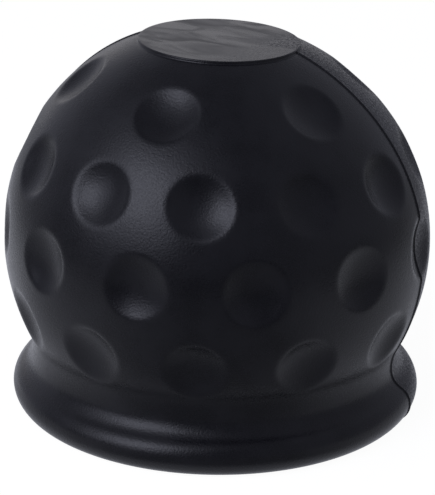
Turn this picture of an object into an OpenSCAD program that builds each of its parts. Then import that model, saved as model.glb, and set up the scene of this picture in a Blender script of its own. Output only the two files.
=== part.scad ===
// Tow ball cover: one soft moulding that snaps over a standard ball.
// A dimpled dome stands on a waisted skirt with a rolled rim, and ends in a flat disc on top.
// The parting plane of its mould is the XZ plane, and the foot stands on z = 0.

/* [Ball and wall] */
// Diameter of the tow ball that the cover fits
ball_d = 50; // [45:0.5:60]
// Free room between the ball and the inside of the dome
ball_room = 4; // [2:0.5:8]
// Thickness of the dome's wall, between the dimples
wall = 4; // [3:0.25:8]

/* [Throat] */
// How far the throat grips inside the ball's radius
grip = 0.7; // [0.3:0.1:2]
// Height of the throat's straight land
land_h = 2; // [1:0.25:3]
// Radius of the lips above and below the land
lip_r = 3; // [1.5:0.25:4.5]
// Slope of the mouth that guides the ball in, from upright
mouth_slope = 14; // [4:1:24]

/* [Skirt and rim] */
// Height of the skirt, from the top of the throat's land to the foot
skirt_h = 9.8; // [8.5:0.1:14]
// Radius of the hollow between dome and rim
waist_r = 4.5; // [3.5:0.25:7]
// Radius of the rolled rim's bead
rim_r = 2.9; // [2.2:0.1:3.4]
// How far the rim stands back from the dome's full width
rim_inset = 0.9; // [0:0.1:2]
// Width of the flat that is cut across the bead at the foot
foot_flat = 2.1; // [1:0.1:3]
// Radius of the foot's inner edge
foot_edge_r = 1; // [0.4:0.1:1.4]

/* [Top disc] */
// Diameter of the flat disc on top
disc_d = 24.5; // [18:0.5:32]
// How far the disc's edge stands proud of the dome
disc_rise = 0.4; // [0.3:0.05:1]
// Bevel round the disc's edge
disc_bevel = 0.15; // [0.05:0.05:0.25]

/* [Dimples] */
// Width of a dimple at the dome's surface
dimple_d = 10.4; // [8:0.2:12]
// Depth of a dimple's middle below the dome
dimple_depth = 1.25; // [0.8:0.05:1.6]
// Radius that softens a dimple's edge
dimple_lip_r = 2.5; // [1.5:0.1:3]
// Latitude of the lowest row, below the dome's equator
low_row_lat = -17.2; // [-18:0.1:-15]
// Step in latitude between the three lower rows
row_step = 21.7; // [21:0.1:23]
// Latitude of the sparser top row
top_row_lat = 50; // [49:0.5:52]
// Dimples in each of the three lower rows
row_count = 12; // [8:2:12]
// Dimples in the top row
top_count = 6; // [4:2:8]

/* [Parting line] */
// Width of the fin that the mould left
fin_w = 0.35; // [0.25:0.05:0.6]
// Height of the fin
fin_h = 0.2; // [0.1:0.05:0.3]

/* [Hidden] */
$fn = 96;
dimple_fn = 40;
rubber_black = [0.11, 0.11, 0.12];

// Angle at which a dimple's soft edge leaves the dome
edge_break = 5;
// How far a cutter reaches past the surface that it cuts
over = 1.5;
// Rounds that blend into each other reach this much too far, so that they cross and don't just touch
crossing = 0.004;
// The section is turned from here, well away from the parting plane
section_turn = 100;
low_rows = 3;

cavity_r = ball_d / 2 + ball_room;
dome_r = cavity_r + wall;
throat_r = ball_d / 2 - grip;

// Centres of the lips, seen in section as [radius, height from the dome's centre]
lip_x = throat_r + lip_r;
lip_top = [lip_x, -sqrt(pow(cavity_r + lip_r, 2) - pow(lip_x, 2))];
lip_low = lip_top - [0, land_h];
foot_z = lip_top.y - skirt_h;
mouth_start = lip_low - lip_r * unit(mouth_slope);
mouth_edge = [mouth_start.x + (mouth_start.y - foot_z) * tan(mouth_slope), foot_z];

// The rim's bead, and the waist's hollow that touches both the bead and the dome
rim_c = [dome_r - rim_inset - rim_r, foot_z + sqrt(pow(rim_r, 2) - pow(foot_flat / 2, 2))];
waist_c = meeting_centre(dome_r + waist_r, rim_c, waist_r + rim_r);

// The foot's inner edge is a round between the mouth and the flat
edge_run = foot_edge_r * tan(45 - mouth_slope / 2);
edge_c = mouth_edge + [edge_run, foot_edge_r];
edge_up = mouth_edge + edge_run * [-sin(mouth_slope), cos(mouth_slope)];

disc_r = disc_d / 2;
disc_z = sqrt(pow(dome_r, 2) - pow(disc_r, 2)) + disc_rise;
disc_root = disc_z - 3 * disc_rise;
// The dome is cut off here, where the disc's bevel starts
dome_top = disc_z - disc_bevel;

// A dimple in section, on an axis that points straight up from the dome's centre
edge_angle = asin(dimple_d / 2 / dome_r);
lip_normal = unit(90 - edge_angle + edge_break);
dimple_lip_c = dome_r * unit(90 - edge_angle) - dimple_lip_r * lip_normal;
lip_height = dome_r - dimple_depth - dimple_lip_c.y;
floor_r = (pow(dimple_lip_c.x, 2) + pow(lip_height, 2) - pow(dimple_lip_r, 2))
    / (2 * (dimple_lip_r - lip_height));
floor_c = [0, dome_r - dimple_depth + floor_r];

// Where the fin's root lies inside the wall
fin_root_r = dome_r - 0.6 * wall;

// The outer one of two points that lie r1 from the origin and r2 from c
function meeting_centre(r1, c, r2) =
    let (d = norm(c))
    let (along = (pow(r1, 2) - pow(r2, 2) + pow(d, 2)) / (2 * d))
    let (across = sqrt(pow(r1, 2) - pow(along, 2)))
    (along * c + across * [-c.y, c.x]) / d;

function direction(v) = atan2(v.y, v.x);
function unit(angle) = [cos(angle), sin(angle)];

// Half of the outside in section, from dome to foot, with its skin moved out by grow
module outer_half(grow = 0) {
    intersection() {
        difference() {
            union() {
                circle(r = dome_r + grow);
                translate(rim_c)
                    circle(r = rim_r + grow);
                polygon([[0, 0], [0, -dome_r], [rim_c.x, -dome_r], rim_c, waist_c]);
            }
            translate(waist_c)
                circle(r = waist_r - grow + crossing);
        }
        translate([0, foot_z])
            square([2 * dome_r, dome_top - foot_z]);
    }
}

// Half of the disc in section
module disc_half() {
    polygon([
        [0, disc_root],
        [disc_r, disc_root],
        [disc_r, disc_z - disc_bevel],
        [disc_r - disc_bevel, disc_z],
        [0, disc_z]
    ]);
}

// Half of the inside in section: round chamber, throat with its two lips, and sloping mouth
module inner_half() {
    difference() {
        union() {
            intersection() {
                circle(r = cavity_r);
                translate([0, -cavity_r])
                    square(2 * cavity_r);
            }
            polygon([
                [0, 0],
                [0, foot_z - over],
                [edge_c.x, foot_z - over],
                edge_c,
                edge_up,
                mouth_start,
                lip_low,
                lip_top
            ]);
        }
        translate(lip_top)
            circle(r = lip_r + crossing);
        translate(lip_low)
            circle(r = lip_r + crossing);
        translate([throat_r, lip_low.y])
            square([lip_r, land_h]);
        translate(edge_c)
            circle(r = foot_edge_r + crossing);
    }
}

// Half of a dimple's cutter in section, with the surface that it leaves moved out by grow
module dimple_half(grow = 0) {
    rim_point = dimple_lip_c + (dimple_lip_r + over) * lip_normal;
    difference() {
        intersection() {
            union() {
                translate(floor_c)
                    circle(r = floor_r - grow);
                polygon([floor_c, dimple_lip_c, rim_point]);
            }
            square([rim_point.x, rim_point.y]);
        }
        translate(dimple_lip_c)
            circle(r = dimple_lip_r + grow + crossing);
    }
}

// One dimple's cutter at a latitude and a longitude
module dimple(lat, lon) {
    rotate([0, 90 - lat, lon])
        rotate(section_turn)
            rotate_extrude($fn = dimple_fn)
                dimple_half();
}

// A row of dimples, half a step off the parting plane or on it
module dimple_row(lat, count, on_plane) {
    step = 360 / count;
    for (i = [0 : count - 1])
        dimple(lat, (i + (on_plane ? 0 : 0.5)) * step);
}

// The three lower rows stand in quincunx, and the sparser top row closes them
module dimples() {
    for (row = [0 : low_rows - 1])
        dimple_row(low_row_lat + row * row_step, row_count, row % 2 == 1);
    dimple_row(top_row_lat, top_count, false);
}

// Half of the fin in section: it follows dome, waist and rim, and dips through the dimple on its way
module fin_half() {
    difference() {
        outer_half(fin_h);
        circle(r = fin_root_r);
        polygon([
            [0, 0],
            (fin_root_r + fin_h) * unit(direction(waist_c)),
            lip_low,
            rim_c,
            [rim_c.x, foot_z - over],
            [0, foot_z - over]
        ]);
        rotate(low_row_lat + row_step - 90) {
            dimple_half(fin_h);
            mirror([1, 0])
                dimple_half(fin_h);
        }
        square([disc_r - over, dome_r]);
    }
}

// The fin on one side, upright in the parting plane
module fin(side) {
    rotate([90, 0, side])
        linear_extrude(fin_w, center = true)
            fin_half();
}

// The whole cover, with its foot on z = 0
module cover() {
    color(rubber_black)
        translate([0, 0, -foot_z])
            difference() {
                union() {
                    difference() {
                        rotate(section_turn)
                            rotate_extrude() {
                                outer_half();
                                disc_half();
                            }
                        dimples();
                    }
                    fin(0);
                    fin(180);
                }
                rotate(section_turn)
                    rotate_extrude()
                        inner_half();
            }
}

cover();
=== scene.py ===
"""A tow ball cover: one soft black moulding with dimples, a flat disc on top and a rolled rim."""
from math import acos, asin, atan2, cos, hypot, pi, radians, sin, sqrt, tan

import bpy
from mathutils import Matrix, Vector


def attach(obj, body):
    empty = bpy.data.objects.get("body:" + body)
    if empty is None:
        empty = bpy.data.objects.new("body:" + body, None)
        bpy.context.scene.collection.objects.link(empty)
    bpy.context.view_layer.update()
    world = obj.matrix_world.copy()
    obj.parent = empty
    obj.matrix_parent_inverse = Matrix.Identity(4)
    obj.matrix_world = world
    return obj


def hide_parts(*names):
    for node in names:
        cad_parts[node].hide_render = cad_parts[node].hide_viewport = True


bl_info = {
    "name": "Tow Ball Cover",
    "version": (1, 0, 0),
    "blender": (4, 5, 0),
    "location": "View3D > Sidebar > Ball Cover",
    "description": "Builds a dimpled tow ball cover and a plain studio round it",
    "category": "Object",
}

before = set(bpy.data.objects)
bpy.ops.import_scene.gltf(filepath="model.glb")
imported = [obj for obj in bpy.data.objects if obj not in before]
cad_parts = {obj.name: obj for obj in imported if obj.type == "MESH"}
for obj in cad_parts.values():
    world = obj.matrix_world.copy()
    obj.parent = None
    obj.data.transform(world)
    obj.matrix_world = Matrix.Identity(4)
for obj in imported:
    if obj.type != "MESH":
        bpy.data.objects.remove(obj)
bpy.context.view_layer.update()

MM = 0.001
# Distances of the mesh's columns from the parting plane, so that the fin has edges of its own
FIN_COLUMNS = (0.0, 0.07 * MM, 0.12 * MM, 0.17 * MM, 0.26 * MM, 0.55 * MM)
QUARTER_COLUMNS = 100
OUTSIDE = "outside"
WHITE = (1.0, 1.0, 1.0)
# Tints of the studio's light: of its lamps and sides, of the sweep behind the cover, and of the floor
COOL = (0.82, 0.84, 1.0)
SWEEP_TINT = (0.95, 0.94, 1.0)
FLOOR_TINT = (0.87, 0.89, 1.0)
# Strength of the studio's plain light, and of the sweep, the foot's edge and the white floor
PLAIN_LIGHT = 0.25
SWEEP_LIGHT = 0.72
FOOT_LIGHT = 0.7
FLOOR_WHITE = 1.09


def length(name, description, default, **more):
    return bpy.props.FloatProperty(
        name=name, description=description, default=default, unit="LENGTH", precision=5, **more
    )


def angle(name, description, default, **more):
    return bpy.props.FloatProperty(
        name=name, description=description, default=radians(default), subtype="ANGLE", **more
    )


def number(name, description, default, **more):
    return bpy.props.FloatProperty(name=name, description=description, default=default, **more)


def colour(name, description, default):
    return bpy.props.FloatVectorProperty(
        name=name, description=description, default=default, subtype="COLOR", min=0, max=1
    )


class CoverSizes(bpy.types.PropertyGroup):
    dome_radius: length("Dome radius", "Outer radius of the dome", 33 * MM)
    wall: length("Wall", "Thickness of the dome's wall", 4 * MM)
    throat_radius: length("Throat radius", "Radius that grips the ball", 24.3 * MM)
    land: length("Land", "Height of the throat's straight part", 2 * MM)
    throat_lip: length("Throat lip", "Radius of the lips above and below the land", 3 * MM)
    mouth_slope: angle("Mouth slope", "Slope of the mouth, from upright", 14)
    skirt: length("Skirt", "Height from the top of the land to the foot", 9.8 * MM)
    waist: length("Waist", "Radius of the hollow where it leaves the dome", 7 * MM)
    waist_low: length("Lower waist", "Radius of the hollow where it runs into the rim", 3.5 * MM)
    waist_turn: angle("Waist's turn", "Slope of the skin where the hollow grows tighter", 5)
    bead: length("Bead", "Radius of the rolled rim's bead", 3 * MM)
    rim_inset: length("Rim inset", "How far the rim stands back from the dome", 0.9 * MM)
    foot_flat: length("Foot flat", "Width of the flat cut across the bead", 2.1 * MM)
    foot_edge: length("Foot edge", "Radius of the foot's inner edge", 1 * MM)
    disc_radius: length("Disc radius", "Radius of the flat disc on top", 12.25 * MM)
    disc_rise: length("Disc rise", "How far the disc's edge stands proud", 0.4 * MM)
    disc_bevel: length("Disc bevel", "Round of the disc's edge", 0.15 * MM)
    dimple_radius: length("Dimple radius", "Half of a dimple's width at the dome", 4.8 * MM)
    dimple_depth: length("Dimple depth", "Depth of a dimple below the dome", 1.38 * MM)
    dimple_fullness: number(
        "Dimple fullness", "2 is a round bowl, and more has a flatter floor and steeper sides", 2.1
    )
    dimple_softness: length("Dimple softness", "How softly a dimple runs out", 0.25 * MM)
    lowest_row: angle("Lowest row", "Latitude of the lowest row of dimples", -17.2)
    row_step: angle("Row step", "Latitude from one of the lower rows to the next", 21.7)
    top_row: angle("Top row", "Latitude of the top row of dimples", 50)
    third_turn: angle("Third row's turn", "How far the third row stands off its even place", 1)
    row_count: bpy.props.IntProperty(
        name="Row count", description="Dimples in each of the three lower rows", default=12
    )
    top_count: bpy.props.IntProperty(
        name="Top count", description="Dimples in the top row", default=6
    )
    fin_width: length("Fin width", "Width of the parting fin", 0.28 * MM)
    fin_height: length("Fin height", "Height of the parting fin", 0.18 * MM)
    lean_side: angle("Lean to the side", "How far the soft top has settled to the right", 1.6)
    lean_front: angle("Lean to the front", "How far the soft top has settled forwards", 1.2)


class CoverFinish(bpy.types.PropertyGroup):
    rubber: colour("Rubber", "Colour of the moulding", (0.0045, 0.0045, 0.0065))
    bloom: colour("Bloom", "Colour of the greyish bloom", (0.022, 0.022, 0.026))
    roughness: number("Roughness", "Roughness of the satin skin", 0.30, min=0, max=1)
    disc_roughness: number("Disc roughness", "Roughness of the disc", 0.26, min=0, max=1)
    grain_size: length("Grain size", "Size of the mould's grain", 0.29 * MM)
    grain_depth: length("Grain depth", "Depth of the mould's grain", 0.024 * MM)


class StudioLook(bpy.types.PropertyGroup):
    azimuth: angle("Azimuth", "Direction of the view, from +Y", 20.3)
    elevation: angle("Elevation", "Height of the camera above the horizon", 19.8)
    distance: length("Distance", "From the camera to the dome's centre", 0.297)
    lens: number("Lens", "Focal length in millimetres", 138.64)
    key: number("Key", "Power of the main softbox in watts", 1.4)


def smooth(value):
    """A soft step from 0 to 1."""
    value = min(max(value, 0), 1)
    return value * value * (3 - 2 * value)


def arc(centre, radius, start, stop, steps):
    """Points on an arc in section, from one angle to another in radians."""
    turns = [start + (stop - start) * i / steps for i in range(steps + 1)]
    return [(centre[0] + radius * cos(t), centre[1] + radius * sin(t)) for t in turns]


def heading(start, end):
    return atan2(end[1] - start[1], end[0] - start[0])


def section(s):
    """The dome's height, and the outer and inner section as (radius, height from the dome's centre)."""
    middle = (0.0, 0.0)
    cavity = s.dome_radius - s.wall
    lip_x = s.throat_radius + s.throat_lip
    lip_top = (lip_x, -sqrt((cavity + s.throat_lip) ** 2 - lip_x ** 2))
    lip_low = (lip_x, lip_top[1] - s.land)
    foot = lip_top[1] - s.skirt
    bead = (
        s.dome_radius - s.rim_inset - s.bead,
        foot + sqrt(s.bead ** 2 - (s.foot_flat / 2) ** 2),
    )
    # The waist's hollow has two radii: the upper arc touches the dome, and the lower one the bead
    tighter = s.waist - s.waist_low
    shift = (tighter * cos(s.waist_turn), tighter * sin(s.waist_turn))
    past_bead = (bead[0] + shift[0], bead[1] + shift[1])
    away = hypot(*past_bead)
    to_upper = s.dome_radius + s.waist
    along = (to_upper ** 2 - (s.waist_low + s.bead) ** 2 + away ** 2) / (2 * away)
    across = sqrt(to_upper ** 2 - along ** 2)
    upper = (
        (along * past_bead[0] - across * past_bead[1]) / away,
        (along * past_bead[1] + across * past_bead[0]) / away,
    )
    lower = (upper[0] - shift[0], upper[1] - shift[1])
    disc_top = sqrt(s.dome_radius ** 2 - s.disc_radius ** 2) + s.disc_rise
    flat = [(s.disc_radius * share, disc_top) for share in
            (0.1, 0.2, 0.3, 0.4, 0.5, 0.6, 0.7, 0.8, 0.9, 0.95, 0.975)]
    edge = arc((s.disc_radius - s.disc_bevel, disc_top - s.disc_bevel),
               s.disc_bevel, pi / 2, 0, 4)
    root_angle = acos((s.disc_radius + 0.25 * MM) / s.dome_radius)
    # The disc's side runs into the dome in a small round
    root = [
        (s.disc_radius + out, disc_top - s.disc_rise - down)
        for out, down in ((0.01 * MM, -0.12 * MM), (0.03 * MM, 0.02 * MM), (0.11 * MM, 0.09 * MM))
    ]
    junction = heading(middle, upper)
    dome = arc(middle, s.dome_radius, root_angle, junction, 112)
    change = pi + s.waist_turn
    hollow = arc(upper, s.waist, pi + junction, change, 8)[1:]
    hollow += arc(lower, s.waist_low, change, pi + heading(bead, lower), 10)[1:]
    bead_end = -asin((bead[1] - foot) / s.bead)
    rim = arc(bead, s.bead, heading(bead, lower), bead_end, 24)[1:]
    slope = s.mouth_slope
    mouth_start = (lip_low[0] - s.throat_lip * cos(slope), lip_low[1] - s.throat_lip * sin(slope))
    mouth_edge = (mouth_start[0] + (mouth_start[1] - foot) * tan(slope), foot)
    run = s.foot_edge * tan(pi / 4 - slope / 2)
    edge_centre = (mouth_edge[0] + run, foot + s.foot_edge)
    sole_width = rim[-1][0] - edge_centre[0]
    sole = [(rim[-1][0] - sole_width * share, foot) for share in (0.1, 0.35, 0.65, 0.9)]
    outside = flat + edge + root + dome + hollow + rim
    inner_edge = arc(edge_centre, s.foot_edge, -pi / 2, -pi + slope, 5)
    low = arc(lip_low, s.throat_lip, pi + slope, pi, 3)
    top = arc(lip_top, s.throat_lip, pi, heading(lip_top, middle), 5)
    chamber = arc(middle, cavity, heading(middle, lip_top), pi / 2, 32)[1:-1]
    return -foot, outside, sole + inner_edge + low + top + chamber, cavity


def column_angles(radius, disc_radius):
    """Angles of the mesh's columns at a radius: some keep their distance from the parting plane."""
    reach = max(radius, disc_radius)
    near = [asin(y / reach) for y in FIN_COLUMNS]
    left = pi / 2 - near[-1]
    quarter = near + [near[-1] + left * (i + 1) / QUARTER_COLUMNS for i in range(QUARTER_COLUMNS)]
    half = quarter + [pi - a for a in reversed(quarter[:-1])]
    return half[:-1] + [pi + a for a in half[:-1]]


def shell_mesh(s):
    """The closed skin without dimples or fin, turned round the Z axis."""
    height, outside, inside, cavity = section(s)
    rings = outside + inside
    corners = [(0.0, 0.0, outside[0][1] + height)]
    for radius, z in rings:
        corners += [
            (radius * cos(a), radius * sin(a), z + height)
            for a in column_angles(radius, s.disc_radius)
        ]
    corners.append((0.0, 0.0, cavity + height))
    count = len(column_angles(1.0, s.disc_radius))
    faces = []
    for i in range(count):
        j = (i + 1) % count
        faces.append((0, 1 + i, 1 + j))
        for ring in range(len(rings) - 1):
            here = 1 + ring * count
            below = here + count
            faces.append((here + i, below + i, below + j, here + j))
        last = 1 + (len(rings) - 1) * count
        faces.append((last + i, len(corners) - 1, last + j))
    mesh = bpy.data.meshes.new("cover_skin")
    mesh.from_pydata(corners, [], faces)
    mesh.polygons.foreach_set("use_smooth", [True] * len(mesh.polygons))
    # How much of the fin each corner carries: all of it on dome, waist and rim
    first = next(i for i, ring in enumerate(rings) if ring[0] > s.disc_radius)
    carry = [0.0]
    for i in range(len(rings)):
        carry += [1.0 if first <= i < len(outside) else 0.0] * count
    carry.append(0.0)
    mesh.attributes.new(OUTSIDE, "FLOAT", "POINT").data.foreach_set("value", carry)
    mesh.update()
    return mesh


def settle(mesh, s, height, azimuth):
    """Lets the soft dome lean a little, as the photo shows it, and cuts the fin off at the foot."""
    right = Vector((cos(azimuth), sin(azimuth), 0))
    away = Vector((-sin(azimuth), cos(azimuth), 0))
    # The lean to the side starts low on the dome, and the lean to the front at its middle
    for corner in mesh.vertices:
        level = (corner.co.z - height) / s.dome_radius
        dome = smooth((level + 0.6) / 0.4)
        top = smooth(level)
        lift = away.dot(corner.co) * tan(s.lean_front) * top
        lift -= right.dot(corner.co) * tan(s.lean_side) * (0.4 * dome + 0.6 * top)
        corner.co.z = max(corner.co.z + lift, 0.0)


def add_node(tree, kind, inputs=(), **settings):
    """Adds a node, sets it up, and joins or fills its inputs by name or by number."""
    node = tree.nodes.new(kind)
    for key, value in settings.items():
        setattr(node, key, value)
    pairs = inputs.items() if isinstance(inputs, dict) else enumerate(inputs)
    for key, value in pairs:
        if value is None:
            continue
        if isinstance(value, bpy.types.NodeSocket):
            tree.links.new(value, node.inputs[key])
        else:
            node.inputs[key].default_value = value
    return node


def calc(tree, operation, *values):
    return add_node(tree, "ShaderNodeMath", values, operation=operation).outputs[0]


def vector_calc(tree, operation, *values, output="Vector"):
    if operation == "SCALE":
        values = {"Vector": values[0], "Scale": values[1]}
    return add_node(tree, "ShaderNodeVectorMath", values, operation=operation).outputs[output]


def ramp(tree, value, low, high, at_low=0.0, at_high=1.0):
    """A soft step of a value, from at_low to at_high."""
    return add_node(
        tree, "ShaderNodeMapRange", (value, low, high, at_low, at_high),
        interpolation_type="SMOOTHSTEP",
    ).outputs[0]


def new_tree(name, kind, inputs, outputs):
    """An empty node tree with named sockets, and its group input and output nodes."""
    tree = bpy.data.node_groups.new(name, kind)
    for title, socket, default in inputs:
        made = tree.interface.new_socket(title, in_out="INPUT", socket_type="NodeSocket" + socket)
        if default is not None:
            made.default_value = default
    for title, socket in outputs:
        tree.interface.new_socket(title, in_out="OUTPUT", socket_type="NodeSocket" + socket)
    return tree, tree.nodes.new("NodeGroupInput").outputs, tree.nodes.new("NodeGroupOutput").inputs


def skin_tree(material):
    """Sinks rows of dimples into the skin, and raises the fin on it."""
    tree, given, result = new_tree(
        "Dimples and fin", "GeometryNodeTree",
        (
            ("Skin", "Geometry", None),
            ("Dome height", "Float", 0.0268),
            ("Dome radius", "Float", 0.033),
            ("Lowest row", "Float", -0.295),
            ("Row step", "Float", 0.379),
            ("Top row", "Float", 0.873),
            ("Third turn", "Float", 0.0),
            ("Row count", "Int", 12),
            ("Top count", "Int", 6),
            ("Spread", "Float", 0.144),
            ("Depth", "Float", 0.00125),
            ("Fullness", "Float", 2.0),
            ("Softness", "Float", 0.0004),
            ("Fin width", "Float", 0.00035),
            ("Fin height", "Float", 0.0002),
        ),
        (("Cover", "Geometry"),),
    )
    radius = given["Dome radius"]
    middle = add_node(tree, "ShaderNodeCombineXYZ", (0.0, 0.0, given["Dome height"])).outputs[0]
    rows = tree.nodes.new("GeometryNodeJoinGeometry")
    for row in range(4):
        latitude = calc(tree, "MULTIPLY_ADD", given["Row step"], float(row), given["Lowest row"])
        count = given["Row count"]
        if row == 3:
            latitude, count = given["Top row"], given["Top count"]
        ring = add_node(tree, "GeometryNodeMeshCircle", {
            "Vertices": count,
            "Radius": calc(tree, "MULTIPLY", radius, calc(tree, "COSINE", latitude)),
        }).outputs["Mesh"]
        lift = calc(tree, "MULTIPLY_ADD", radius, calc(tree, "SINE", latitude),
                    given["Dome height"])
        # Every row but the second stands half a step off the parting plane
        phase = 0.0 if row == 1 else calc(tree, "DIVIDE", pi, count)
        if row == 2:
            phase = calc(tree, "ADD", phase, given["Third turn"])
        turn = add_node(tree, "ShaderNodeCombineXYZ", (0.0, 0.0, phase)).outputs[0]
        placed = add_node(tree, "GeometryNodeTransform", {
            "Geometry": ring,
            "Translation": add_node(tree, "ShaderNodeCombineXYZ", (0.0, 0.0, lift)).outputs[0],
            "Rotation": add_node(tree, "FunctionNodeEulerToRotation", (turn,)).outputs[0],
        }).outputs["Geometry"]
        tree.links.new(placed, rows.inputs[0])

    place = tree.nodes.new("GeometryNodeInputPosition").outputs[0]
    arm = vector_calc(tree, "SUBTRACT", place, middle)
    reach = vector_calc(tree, "LENGTH", arm, output="Value")
    outward = vector_calc(tree, "NORMALIZE", arm)
    on_dome = calc(tree, "COMPARE", reach, radius, 2e-6)
    near = add_node(tree, "GeometryNodeProximity", {
        0: rows.outputs[0],
        "Sample Position": place,
    }, target_element="POINTS").outputs["Distance"]
    half_chord = calc(tree, "DIVIDE", calc(tree, "MULTIPLY", near, 0.5), radius)
    swing = calc(tree, "MULTIPLY", calc(tree, "ARCSINE", half_chord), 2.0)
    # How far out the dimple's floor lies, from its middle to where it leaves the dome
    share = calc(tree, "POWER", calc(tree, "DIVIDE", swing, given["Spread"]), given["Fullness"])
    floor = calc(tree, "MULTIPLY_ADD", share, given["Depth"],
                 calc(tree, "SUBTRACT", radius, given["Depth"]))
    sunk = calc(tree, "SMOOTH_MIN", radius, floor, given["Softness"])
    dimpled = add_node(tree, "GeometryNodeSetPosition", {
        "Geometry": given["Skin"],
        "Selection": on_dome,
        "Position": vector_calc(tree, "ADD", middle, vector_calc(tree, "SCALE", outward, sunk)),
    }).outputs["Geometry"]

    across = add_node(tree, "ShaderNodeSeparateXYZ", (place,)).outputs[1]
    half = calc(tree, "MULTIPLY", given["Fin width"], 0.5)
    crest = ramp(tree, calc(tree, "ABSOLUTE", across),
                 calc(tree, "MULTIPLY", half, 0.5), calc(tree, "MULTIPLY", half, 1.25), 1.0, 0.0)
    carried = add_node(tree, "GeometryNodeInputNamedAttribute", {"Name": OUTSIDE},
                       data_type="FLOAT").outputs["Attribute"]
    rise = calc(tree, "MULTIPLY", calc(tree, "MULTIPLY", crest, carried), given["Fin height"])
    normal = tree.nodes.new("GeometryNodeInputNormal").outputs["Normal"]
    finned = add_node(tree, "GeometryNodeSetPosition", {
        "Geometry": dimpled,
        "Offset": vector_calc(tree, "SCALE", normal, rise),
    }).outputs["Geometry"]
    real = add_node(tree, "GeometryNodeRealizeInstances", (finned,)).outputs[0]
    painted = add_node(tree, "GeometryNodeSetMaterial", {"Geometry": real, "Material": material})
    tree.links.new(painted.outputs["Geometry"], result["Cover"])
    return tree


def grain_group():
    """Spark-eroded grain of a mould: its height, a fine speckle, and a broad mottle."""
    tree, given, result = new_tree(
        "Mould grain", "ShaderNodeTree",
        (("Vector", "Vector", None), ("Size", "Float", 0.0002)),
        (("Height", "Float"), ("Speckle", "Float"), ("Mottle", "Float")),
    )
    fine = calc(tree, "DIVIDE", 1.0, given["Size"])
    coarse = calc(tree, "DIVIDE", 0.045, given["Size"])
    grit = add_node(tree, "ShaderNodeTexNoise", {
        "Vector": given["Vector"], "Scale": fine, "Detail": 1.0, "Roughness": 0.5,
    }).outputs["Fac"]
    pits = add_node(tree, "ShaderNodeTexVoronoi", {
        "Vector": given["Vector"], "Scale": calc(tree, "MULTIPLY", fine, 0.75),
    }).outputs["Distance"]
    cloud = add_node(tree, "ShaderNodeTexNoise", {
        "Vector": given["Vector"], "Scale": coarse, "Detail": 4.0, "Roughness": 0.55,
    }).outputs["Fac"]
    tree.links.new(calc(tree, "MULTIPLY_ADD", pits, 0.35, grit), result["Height"])
    tree.links.new(ramp(tree, grit, 0.38, 0.62), result["Speckle"])
    tree.links.new(cloud, result["Mottle"])
    return tree


def blend(tree, share, first, second):
    """A colour or a value between two."""
    if isinstance(first, (tuple, list)) or (
        isinstance(first, bpy.types.NodeSocket) and first.type == "RGBA"
    ):
        node = tree.nodes.new("ShaderNodeMix")
        node.data_type = "RGBA"
        pairs = ((0, share), (6, first), (7, second))
        output = node.outputs[2]
    else:
        node = tree.nodes.new("ShaderNodeMix")
        pairs = ((0, share), (2, first), (3, second))
        output = node.outputs[0]
    for index, value in pairs:
        if isinstance(value, bpy.types.NodeSocket):
            tree.links.new(value, node.inputs[index])
        elif isinstance(value, (tuple, list)):
            node.inputs[index].default_value = (*value[:3], 1.0)
        else:
            node.inputs[index].default_value = value
    return output


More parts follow.
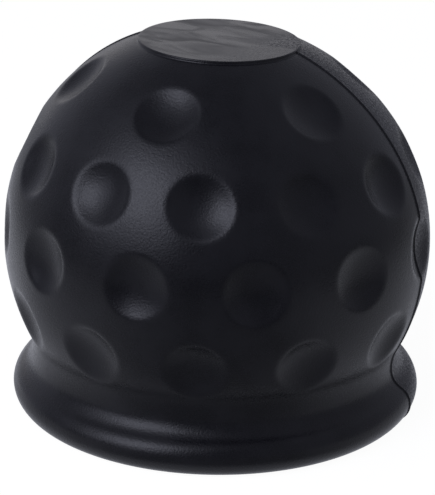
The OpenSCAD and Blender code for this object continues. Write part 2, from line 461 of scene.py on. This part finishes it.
def moulding_material(finish, s, height, azimuth):
    """Satin black soft moulding, with grain, bloom on the rear half, and a smoother disc."""
    material = bpy.data.materials.new("satin_moulding")
    material.use_nodes = True
    tree = material.node_tree
    tree.nodes.clear()
    out = tree.nodes.new("ShaderNodeOutputMaterial")
    skin = tree.nodes.new("ShaderNodeBsdfPrincipled")
    tree.links.new(skin.outputs[0], out.inputs["Surface"])
    place = tree.nodes.new("ShaderNodeTexCoord").outputs["Object"]
    axes = add_node(tree, "ShaderNodeSeparateXYZ", (place,)).outputs
    grain = add_node(tree, "ShaderNodeGroup", node_tree=grain_group())
    tree.links.new(place, grain.inputs["Vector"])
    grain.inputs["Size"].default_value = finish.grain_size

    disc_top = height + sqrt(s.dome_radius ** 2 - s.disc_radius ** 2) + s.disc_rise
    on_disc = ramp(tree, axes[2], disc_top - 0.3 * MM, disc_top - 0.05 * MM)
    rear = calc(tree, "MULTIPLY", ramp(tree, axes[1], 0.1 * MM, 0.5 * MM),
                calc(tree, "SUBTRACT", 1.0, on_disc))

    # Colour: black rubber with a thin, cloudy bloom, which is heavier on the rear half
    tint = blend(tree, ramp(tree, grain.outputs["Mottle"], 0.3, 0.75, 0.0, 0.25),
                 tuple(finish.rubber), tuple(finish.bloom))
    tint = blend(tree, calc(tree, "MULTIPLY", rear, 0.7), tint, tuple(finish.bloom))
    tree.links.new(tint, skin.inputs["Base Color"])

    # Roughness: speckled satin on the moulding, and streaks along the disc
    satin = calc(tree, "MULTIPLY_ADD", grain.outputs["Mottle"], 0.10, finish.roughness - 0.08)
    satin = calc(tree, "MULTIPLY_ADD", grain.outputs["Speckle"],
                 calc(tree, "MULTIPLY_ADD", rear, 0.16, 0.06), satin)
    streaks = add_node(tree, "ShaderNodeMapping", {
        "Vector": place, "Rotation": (0.0, 0.0, 0.5 - azimuth),
    }).outputs[0]
    streaks = vector_calc(tree, "MULTIPLY", streaks, (90.0, 210.0, 90.0))
    streak = add_node(tree, "ShaderNodeTexNoise", {
        "Vector": streaks, "Scale": 1.0, "Detail": 4.0, "Roughness": 0.55, "Distortion": 1.2,
    }).outputs["Fac"]
    polish = calc(tree, "MULTIPLY_ADD", ramp(tree, streak, 0.3, 0.7), 0.22,
                  finish.disc_roughness - 0.08)
    tree.links.new(blend(tree, on_disc, satin, polish), skin.inputs["Roughness"])

    bump = tree.nodes.new("ShaderNodeBump")
    bump.inputs["Strength"].default_value = 1.0
    bump.inputs["Distance"].default_value = finish.grain_depth
    # The rear half of the mould has a coarser skin
    grit = calc(tree, "MULTIPLY", grain.outputs["Height"], calc(tree, "MULTIPLY_ADD", rear, 1.0, 1.0))
    relief = blend(tree, on_disc, grit, calc(tree, "MULTIPLY", streak, 0.5))
    tree.links.new(relief, bump.inputs["Height"])
    tree.links.new(bump.outputs[0], skin.inputs["Normal"])
    skin.inputs["IOR"].default_value = 1.5
    skin.inputs["Specular IOR Level"].default_value = 0.31
    return material


def set_inputs(modifier, tree, values):
    """Fills a modifier's inputs, found by their titles."""
    for item in tree.interface.items_tree:
        if item.item_type == "SOCKET" and item.name in values:
            modifier[item.identifier] = values[item.name]


class BALLCOVER_OT_moulding(bpy.types.Operator):
    """Build the cover's skin, with its dimples, fin and satin finish"""

    bl_idname = "ballcover.moulding"
    bl_label = "Build Moulding"

    def execute(self, context):
        s = context.scene.cover_sizes
        height = section(s)[0]
        material = moulding_material(
            context.scene.cover_finish, s, height, context.scene.studio_look.azimuth
        )
        cover = bpy.data.objects.new("cover_moulding", shell_mesh(s))
        context.scene.collection.objects.link(cover)
        tree = skin_tree(material)
        modifier = cover.modifiers.new("Dimples and fin", "NODES")
        modifier.node_group = tree
        set_inputs(modifier, tree, {
            "Dome height": height,
            "Dome radius": s.dome_radius,
            "Lowest row": s.lowest_row,
            "Row step": s.row_step,
            "Top row": s.top_row,
            "Third turn": s.third_turn,
            "Row count": s.row_count,
            "Top count": s.top_count,
            "Spread": asin(s.dimple_radius / s.dome_radius),
            "Depth": s.dimple_depth,
            "Fullness": s.dimple_fullness,
            "Softness": s.dimple_softness,
            "Fin width": s.fin_width,
            "Fin height": s.fin_height,
        })
        drawn = cover.evaluated_get(context.evaluated_depsgraph_get())
        mesh = bpy.data.meshes.new_from_object(drawn)
        cover.modifiers.clear()
        cover.data = mesh
        mesh.attributes.remove(mesh.attributes[OUTSIDE])
        settle(mesh, s, height, context.scene.studio_look.azimuth)
        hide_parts("cover")
        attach(cover, "root")
        return {"FINISHED"}


def softbox(name, look, target, side, up, distance, width, height, power, tint=(1, 1, 1)):
    """A rectangular lamp, placed by its angles from the camera's direction."""
    lamp = bpy.data.lights.new(name, "AREA")
    lamp.shape = "RECTANGLE"
    lamp.size = width
    lamp.size_y = height
    lamp.energy = power
    lamp.color = tint
    holder = bpy.data.objects.new(name, lamp)
    turn = look.azimuth + radians(side)
    lift = radians(up)
    towards = Vector((sin(turn) * cos(lift), -cos(turn) * cos(lift), sin(lift)))
    holder.location = target + towards * distance
    holder.rotation_euler = towards.to_track_quat("Z", "Y").to_euler()
    bpy.context.scene.collection.objects.link(holder)


def studio_world(look):
    """White to the camera and bright behind the cover, and dim as plain light."""
    world = bpy.data.worlds.new("studio")
    world.use_nodes = True
    tree = world.node_tree
    tree.nodes.clear()
    path = tree.nodes.new("ShaderNodeLightPath").outputs
    direction = tree.nodes.new("ShaderNodeTexCoord").outputs["Generated"]
    away = Vector((-sin(look.azimuth), cos(look.azimuth), 0.0))
    right = Vector((cos(look.azimuth), sin(look.azimuth), 0.0))
    behind = vector_calc(tree, "DOT_PRODUCT", direction, away * 0.99 - right * 0.12, output="Value")
    beside = vector_calc(tree, "DOT_PRODUCT", direction, right, output="Value")
    # Reflected, it is bright straight behind, and a little lighter beside the cover than in front
    sweep = ramp(tree, behind, 0.80, 0.96)
    corner = vector_calc(tree, "DOT_PRODUCT", direction, away * 0.8 - right * 0.6, output="Value")
    flank = calc(tree, "ADD", ramp(tree, beside, 0.05, 0.60, 0.18, 0.34),
                 ramp(tree, corner, 0.60, 0.90, 0.0, 0.28))
    flank = calc(tree, "ADD", flank, ramp(tree, behind, -0.9, 0.5, 0.0, 0.06))
    gloss = calc(tree, "MAXIMUM", path["Is Glossy Ray"], path["Is Transmission Ray"])
    level = blend(tree, gloss, PLAIN_LIGHT, blend(tree, sweep, flank, SWEEP_LIGHT))
    level = blend(tree, path["Is Camera Ray"], level, 1.0)
    tint = blend(tree, sweep, COOL, SWEEP_TINT)
    tint = blend(tree, path["Is Camera Ray"], tint, WHITE)
    backing = tree.nodes.new("ShaderNodeBackground")
    tree.links.new(tint, backing.inputs["Color"])
    tree.links.new(level, backing.inputs["Strength"])
    tree.links.new(backing.outputs[0], tree.nodes.new("ShaderNodeOutputWorld").inputs["Surface"])
    return world


def floor_material(look):
    """Plain white floor that keeps a soft shadow, and is dimmer in gloss near the camera."""
    material = bpy.data.materials.new("white_floor")
    material.use_nodes = True
    tree = material.node_tree
    tree.nodes.clear()
    path = tree.nodes.new("ShaderNodeLightPath").outputs
    place = tree.nodes.new("ShaderNodeTexCoord").outputs["Object"]
    # Brightest behind the cover and to its left, dim straight in front, and fading far away
    away = Vector((-sin(look.azimuth), cos(look.azimuth), 0.0))
    right = Vector((cos(look.azimuth), sin(look.azimuth), 0.0))
    reach = vector_calc(tree, "LENGTH", place, output="Value")
    towards = vector_calc(tree, "NORMALIZE", place)
    behind = vector_calc(tree, "DOT_PRODUCT", towards, away, output="Value")
    beside = vector_calc(tree, "DOT_PRODUCT", towards, right * -0.29, output="Value")
    lit = calc(tree, "MULTIPLY_ADD", calc(tree, "ADD", beside, 0.38),
               calc(tree, "MAXIMUM", behind, 0.0), ramp(tree, behind, -1.0, -0.6, 0.25, 0.58))
    lit = calc(tree, "MULTIPLY", lit, ramp(tree, reach, 0.08, 0.26, 1.0, 0.4))
    by_foot = ramp(tree, reach, 0.033, 0.0355, 1.0, 0.0)
    matt = tree.nodes.new("ShaderNodeBsdfDiffuse")
    matt.inputs["Color"].default_value = (0.9, 0.9, 0.9, 1)
    glow = tree.nodes.new("ShaderNodeEmission")
    sheen = blend(tree, by_foot, lit, FOOT_LIGHT)
    tree.links.new(blend(tree, path["Is Camera Ray"], sheen, FLOOR_WHITE), glow.inputs["Strength"])
    tree.links.new(blend(tree, path["Is Camera Ray"], FLOOR_TINT, WHITE), glow.inputs["Color"])
    # To the camera the floor keeps a share of its plain side, and with it the shadow
    share = calc(tree, "MULTIPLY_ADD", path["Is Camera Ray"], 0.88, path["Is Glossy Ray"])
    mixed = tree.nodes.new("ShaderNodeMixShader")
    tree.links.new(share, mixed.inputs[0])
    tree.links.new(matt.outputs[0], mixed.inputs[1])
    tree.links.new(glow.outputs[0], mixed.inputs[2])
    tree.links.new(mixed.outputs[0], tree.nodes.new("ShaderNodeOutputMaterial").inputs["Surface"])
    return material


class BALLCOVER_OT_studio(bpy.types.Operator):
    """Set up the camera, the lamps, the white floor and the background"""

    bl_idname = "ballcover.studio"
    bl_label = "Set Up Studio"

    def execute(self, context):
        look = context.scene.studio_look
        height = section(context.scene.cover_sizes)[0]
        # The camera was fitted about this height
        target = Vector((0, 0, height))
        camera = bpy.data.objects.new("camera", bpy.data.cameras.new("camera"))
        camera.data.lens = look.lens
        camera.data.sensor_width = 36.0
        camera.data.clip_start = 0.01
        back = Vector((
            sin(look.azimuth) * cos(look.elevation),
            -cos(look.azimuth) * cos(look.elevation),
            sin(look.elevation),
        ))
        camera.location = target + back * look.distance
        aim = back.to_track_quat("Z", "Y").to_matrix()
        # The photograph's framing: a hair to the right, down, and rolled
        trim = (
            Matrix.Rotation(-0.0003, 3, "Y")
            @ Matrix.Rotation(-0.007218, 3, "X")
            @ Matrix.Rotation(0.0124, 3, "Z")
        )
        camera.rotation_euler = (aim @ trim).to_euler()
        context.scene.collection.objects.link(camera)
        context.scene.camera = camera

        # Three lamps in one place fade out softly at their edges
        softbox("key_softbox", look, target, -46, 34, 0.80, 0.42, 0.42, look.key, COOL)
        softbox("key_halo", look, target, -51, 32, 0.85, 0.80, 0.80, 1.35 * look.key, COOL)
        softbox("key_glow", look, target, -54, 42, 0.90, 1.30, 1.20, 1.1 * look.key, COOL)
        context.scene.world = studio_world(look)
        context.scene.view_settings.view_transform = "Standard"

        bpy.ops.mesh.primitive_plane_add(size=6.0, location=(0, 0, 0))
        floor = context.object
        floor.name = "floor"
        floor.data.materials.append(floor_material(look))
        return {"FINISHED"}


class BALLCOVER_PT_panel(bpy.types.Panel):
    """Sizes, finish and studio of the tow ball cover"""

    bl_idname = "BALLCOVER_PT_panel"
    bl_label = "Tow Ball Cover"
    bl_space_type = "VIEW_3D"
    bl_region_type = "UI"
    bl_category = "Ball Cover"

    def draw(self, context):
        layout = self.layout
        for title, group, operator in (
            ("Moulding", "cover_sizes", "ballcover.moulding"),
            ("Finish", "cover_finish", None),
            ("Studio", "studio_look", "ballcover.studio"),
        ):
            column = layout.column(heading=title)
            settings = getattr(context.scene, group)
            for name in settings.__annotations__:
                column.prop(settings, name)
            if operator:
                column.operator(operator)


CLASSES = (
    CoverSizes,
    CoverFinish,
    StudioLook,
    BALLCOVER_OT_moulding,
    BALLCOVER_OT_studio,
    BALLCOVER_PT_panel,
)


def register():
    for item in CLASSES:
        bpy.utils.register_class(item)
    bpy.types.Scene.cover_sizes = bpy.props.PointerProperty(type=CoverSizes)
    bpy.types.Scene.cover_finish = bpy.props.PointerProperty(type=CoverFinish)
    bpy.types.Scene.studio_look = bpy.props.PointerProperty(type=StudioLook)


def unregister():
    for name in ("cover_sizes", "cover_finish", "studio_look"):
        delattr(bpy.types.Scene, name)
    for item in reversed(CLASSES):
        bpy.utils.unregister_class(item)


def main():
    register()
    bpy.ops.ballcover.moulding()
    bpy.ops.ballcover.studio()


if __name__ == "__main__":
    main()
